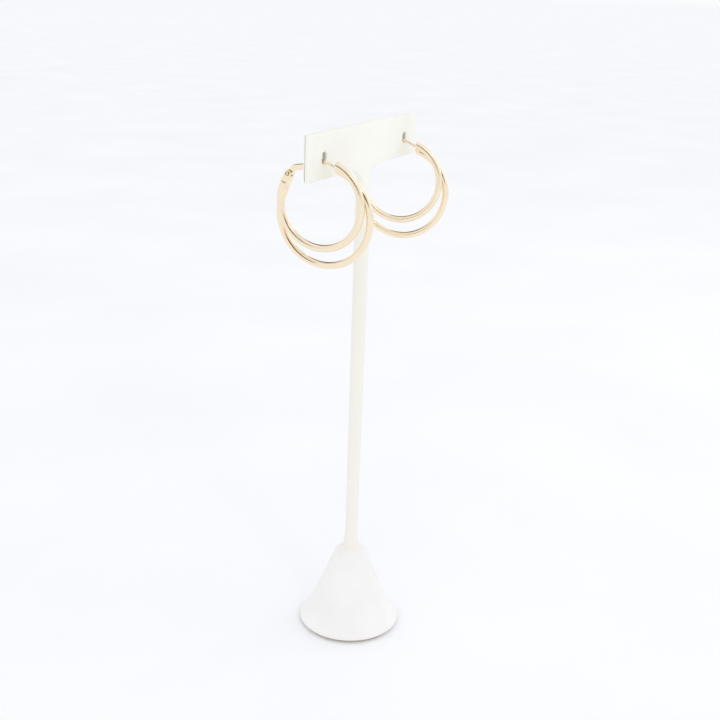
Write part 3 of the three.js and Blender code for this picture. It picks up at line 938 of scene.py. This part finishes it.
class EARRING_OT_hinge(BuildStep):
    """Hinge cheeks and pin of each hoop"""

    bl_idname = "earring.hinge"
    bl_label = "Hinges"

    def build(self, scene):
        size = scene.earring_sizes
        earring = Earring(size, scene.stand_sizes)
        metal = polished_gold("Soldered_gold", scene.finish_settings.solder)
        middle = size.eye_thickness / 2 + size.cheek_clearance + size.cheek_thickness / 2
        shade_gap = 0.12
        bore = size.pin_diameter / 2 + size.pin_clearance + shade_gap
        for side, place, body, _ in hung_earrings(scene):
            cheeks, roots = [], []
            for (centre, radius, _, bend), x in zip(earring.rings(), (middle, -middle)):
                angle = earring.back_angle(centre, radius) + math.degrees(0.5 * size.tube_diameter / radius)
                root = earring.on_tube(centre, radius, bend, angle)
                roots.append(root)
                cheeks.append(plate_with_eye(earring.hinge, root, size.knuckle_diameter / 2,
                                             size.fork_width / 2, bore, size.cheek_thickness, x))
            cheeks.append(fork_bridge(size, earring.hinge, sum(roots) / 2, middle))
            add_piece(f"{side}_hinge_cheeks", cheeks, [metal], body, [], place)
            add_piece(f"{side}_pin", [hinge_pin(size, earring)], [metal], body, [f"{side}_hinge_pin"],
                      place)


def fork_bridge(size, hinge, root, half_width):
    """Block between the two cheeks, hollowed round the eye and running down into the tubes."""
    run = (root - hinge) / np.linalg.norm(root - hinge)
    half = size.fork_width / 2
    across = np.linspace(-half, half, 17)
    hollow = size.knuckle_diameter / 2 + size.cheek_clearance
    outward = np.array([run[1], -run[0]])
    top = hinge + across[:, None] * outward + np.sqrt(hollow ** 2 - across[:, None] ** 2) * run
    bottom = root + across[::-1, None] * outward
    section = np.concatenate([top, bottom])
    return closed_shape(np.array([in_plane(section, -half_width), in_plane(section, half_width)]))


def hinge_pin(size, earring):
    """Pin along X: a turned profile with domed heads that stand a little out of the cheeks."""
    half = size.eye_thickness / 2 + size.cheek_clearance + size.cheek_thickness
    r = size.pin_diameter / 2
    dome_height = 0.22
    turn = np.radians(np.linspace(0, 90, 12))
    dome = np.stack([r * np.sin(turn), half + dome_height * np.cos(turn)], axis=-1)[1:]
    profile = np.concatenate([dome, dome[::-1] * (1, -1)])
    around = unit(round_angles(SIDES["pin"]))
    return closed_tube(np.array([in_plane(earring.hinge + radius * around, x) for radius, x in profile]))


class EARRING_OT_catch(BuildStep):
    """Slotted catch between each hoop's front ends"""

    bl_idname = "earring.catch"
    bl_label = "Catches"

    def build(self, scene):
        earring = Earring(scene.earring_sizes, scene.stand_sizes)
        metal = polished_gold("Catch_gold", scene.finish_settings.solder)
        for side, place, body, _ in hung_earrings(scene):
            piece = add_piece(f"{side}_catch", catch_shapes(earring), [metal], body, [], place)
            soften = piece.modifiers.new("Soft edges", "BEVEL")
            soften.width, soften.segments, soften.limit_method = 0.12 * MM, 3, "ANGLE"


def catch_shapes(earring):
    """U-shaped channel for the wire's tip, and the solid stretch behind it."""
    size = earring.size
    slot_end = earring.between_tubes(-size.mouth_forward - size.slot_length)
    back = earring.between_tubes(-size.mouth_forward - size.catch_length)
    w, h = size.catch_width / 2, size.catch_height / 2
    s = size.wire_diameter / 2 + size.catch_clearance
    channel = np.array([(-w, -h), (w, -h), (w, h), (s, h), (s, -s), (-s, -s), (-s, h), (-w, h)])
    block = np.array([(-w, -h), (w, -h), (w, h), (-w, h)])
    return [prism_along(earring.mouth, slot_end, channel), prism_along(slot_end, back, block)]


class EARRING_OT_wires(BuildStep):
    """Ear wire of each earring, from its eye over the thick arm to its tip"""

    bl_idname = "earring.wires"
    bl_label = "Ear Wires"

    def build(self, scene):
        earring = Earring(scene.earring_sizes, scene.stand_sizes)
        gold = polished_gold("Wire_gold", scene.finish_settings.gold)
        for side, place, _, drop in hung_earrings(scene):
            add_piece(f"{side}_wire_and_eye", wire_shapes(earring, drop), [gold], "stand",
                      [f"{side}_ear_wire"], place)


def wire_shapes(earring, drop):
    """The eye's plate, and a bar whose radius falls from the arm to the thin wire and to the tip."""
    size = earring.size
    thin_at, thick_at, taper_length = 2.6, 3.6, 1.6
    tip_rounding, root_rounding = 0.25, 0.18
    eye_steps = 14
    path = smooth_path(earring.wire_stations(drop), 60)
    start = int(np.argmax(travel_along(path) >= size.arm_start))
    stretch = path[start:]
    gone = travel_along(stretch)
    left = gone[-1] - gone
    thick = ease(share_of(stretch[:, 0], thin_at, thick_at))
    taper = 1 - share_of(left, 0, taper_length)
    radii = size.wire_diameter / 2 + thick * (size.arm_diameter - size.wire_diameter) / 2
    radii = radii - taper * (size.wire_diameter - size.tip_diameter) / 2
    radii = radii - rounding_loss(left, tip_rounding) - rounding_loss(gone, root_rounding)
    bar = closed_tube(sweep(in_plane(stretch), radii, SIDES["wire"]))
    bore = size.pin_diameter / 2 + size.pin_clearance
    eye = plate_with_eye(earring.hinge, path[start + eye_steps], size.knuckle_diameter / 2,
                         0.42 * size.arm_diameter, bore, size.eye_thickness, 0.0)
    return [bar, eye]


class STUDIO_OT_setup(BuildStep):
    """Camera, soft lights and pale floor"""

    bl_idname = "studio.setup"
    bl_label = "Studio"

    def build(self, scene):
        studio = scene.studio_settings
        add_camera(scene, studio)
        add_room_light(scene, studio)
        add_floor(studio)
        add_lights()
        add_dark_cards(studio)
        scene.view_settings.view_transform = "Standard"


def add_camera(scene, studio):
    """Camera on a sphere round its target, rolled about its own view line."""
    a, e, roll = (math.radians(v) for v in (studio.azimuth, studio.elevation, studio.roll))
    right = Vector((math.cos(a), math.sin(a), 0))
    back = Vector((math.sin(a) * math.cos(e), -math.cos(a) * math.cos(e), math.sin(e)))
    up = back.cross(right)
    rolled_right = right * math.cos(roll) + up * math.sin(roll)
    rolled_up = up * math.cos(roll) - right * math.sin(roll)
    target = Vector((0, 0, studio.target_height)) + right * studio.target_right
    camera = add_object("Studio_camera", bpy.data.cameras.new("Studio_camera"))
    turn = Matrix((rolled_right, rolled_up, back)).transposed().to_4x4()
    camera.matrix_world = Matrix.Translation((target + back * studio.distance) * MM) @ turn
    camera.data.sensor_width = 36.0
    camera.data.lens = camera.data.sensor_width * studio.focal_pixels / studio.picture
    camera.data.clip_start = 0.01
    camera.data.clip_end = 200.0
    scene.camera = camera


def add_room_light(scene, studio):
    """Even light from all round."""
    world = bpy.data.worlds.new("Studio_room")
    world.use_nodes = True
    background = world.node_tree.nodes["Background"]
    background.inputs["Color"].default_value = (*studio.world, 1)
    background.inputs["Strength"].default_value = studio.world_strength
    scene.world = world


def add_floor(studio):
    """Wide round floor, whose rings grow outwards from the stand up to 60 metres."""
    reach = np.geomspace(20, 60000, 32)
    profile = np.stack([reach, np.zeros_like(reach)], axis=-1)
    rings = revolve(profile, round_angles(SIDES["floor"]))
    rows, columns, _ = rings.shape
    points = np.concatenate([rings.reshape(-1, 3), [(0, 0, 0)]])
    faces = grid_quads(rows, columns)[:, ::-1].tolist() + fan(rows * columns, np.arange(columns)).tolist()
    mesh = new_mesh("Studio_floor", points, faces, [studio_floor(studio.floor)])
    mesh.polygons.foreach_set("use_smooth", [True] * len(mesh.polygons))
    floor = add_object("Studio_floor", mesh)


def aimed(place, target):
    """Matrix of an object that stands at a place and looks at a target along its own -Z."""
    place, target = Vector(place) * MM, Vector(target) * MM
    turn = (target - place).to_track_quat("-Z", "Y").to_matrix().to_4x4()
    return Matrix.Translation(place) @ turn


# Name, place, target, side lengths, watts and colour of each soft light
SOFT_LIGHTS = (
    ("Key_light", (-500, -650, 620), (0, 0, 90), (170, 560), 0.5, (1.0, 0.985, 0.96)),
    ("Fill_light", (620, -380, 420), (0, 0, 100), (120, 500), 0.26, (1.0, 0.98, 0.94)),
)


def add_lights():
    for name, place, target, (width, height), watts, tint in SOFT_LIGHTS:
        data = bpy.data.lights.new(name, "AREA")
        data.shape, data.size, data.size_y = "RECTANGLE", width * MM, height * MM
        data.energy, data.color = watts, tint
        add_object(name, data).matrix_world = aimed(place, target)


# Name, degrees to the right of the camera and above it, and side lengths of each dark card
DARK_CARDS = (
    ("Dark_card", -4.0, 1.0, (440.0, 130.0)),
    ("Back_card", 200.0, 26.0, (280.0, 240.0)),
)
CARD_DISTANCE = 300.0


def add_dark_cards(studio):
    """Dark cards round the rings that only the metal's reflections see, as a photographer's shapes."""
    material, _, _ = new_material("Dark_card", (0.17, 0.125, 0.07), 0.9)
    rings = Vector((0, 0, 140))
    for name, right, above, sides in DARK_CARDS:
        a, e = math.radians(studio.azimuth + right), math.radians(studio.elevation + above)
        away = Vector((math.sin(a) * math.cos(e), -math.cos(a) * math.cos(e), math.sin(e)))
        corners = 0.5 * np.array([(-1, -1, 0), (1, -1, 0), (1, 1, 0), (-1, 1, 0)]) * (*sides, 0)
        card = add_object(name, new_mesh(name, corners, [(0, 1, 2, 3)], [material]))
        card.matrix_world = aimed(rings + CARD_DISTANCE * away, rings)
        card.visible_camera = card.visible_diffuse = False
        card.visible_shadow = card.visible_transmission = False


class EARRINGS_PT_builder(bpy.types.Panel):
    """Buttons for each building step, in their order"""

    bl_label = "Earrings on Stand"
    bl_idname = "EARRINGS_PT_builder"
    bl_space_type = "VIEW_3D"
    bl_region_type = "UI"
    bl_category = "Earrings"

    def draw(self, context):
        for step in STEPS:
            self.layout.operator(step.bl_idname)


STEPS = (STUDIO_OT_setup, STAND_OT_foot_board, STAND_OT_cover, EARRING_OT_tubes, EARRING_OT_hinge,
         EARRING_OT_catch, EARRING_OT_wires)
SETTINGS = {
    "stand_sizes": StandSizes,
    "earring_sizes": EarringSizes,
    "hang_settings": HangSettings,
    "finish_settings": FinishSettings,
    "studio_settings": StudioSettings,
}


def register():
    for kind in (*SETTINGS.values(), *STEPS, EARRINGS_PT_builder):
        bpy.utils.register_class(kind)
    for name, kind in SETTINGS.items():
        setattr(bpy.types.Scene, name, PointerProperty(type=kind))


def unregister():
    for name in SETTINGS:
        delattr(bpy.types.Scene, name)
    for kind in (EARRINGS_PT_builder, *reversed(STEPS), *SETTINGS.values()):
        bpy.utils.unregister_class(kind)


def main():
    register()
    for step in STEPS:
        group, name = step.bl_idname.split(".")
        getattr(getattr(bpy.ops, group), name)()


if __name__ == "__main__":
    main()
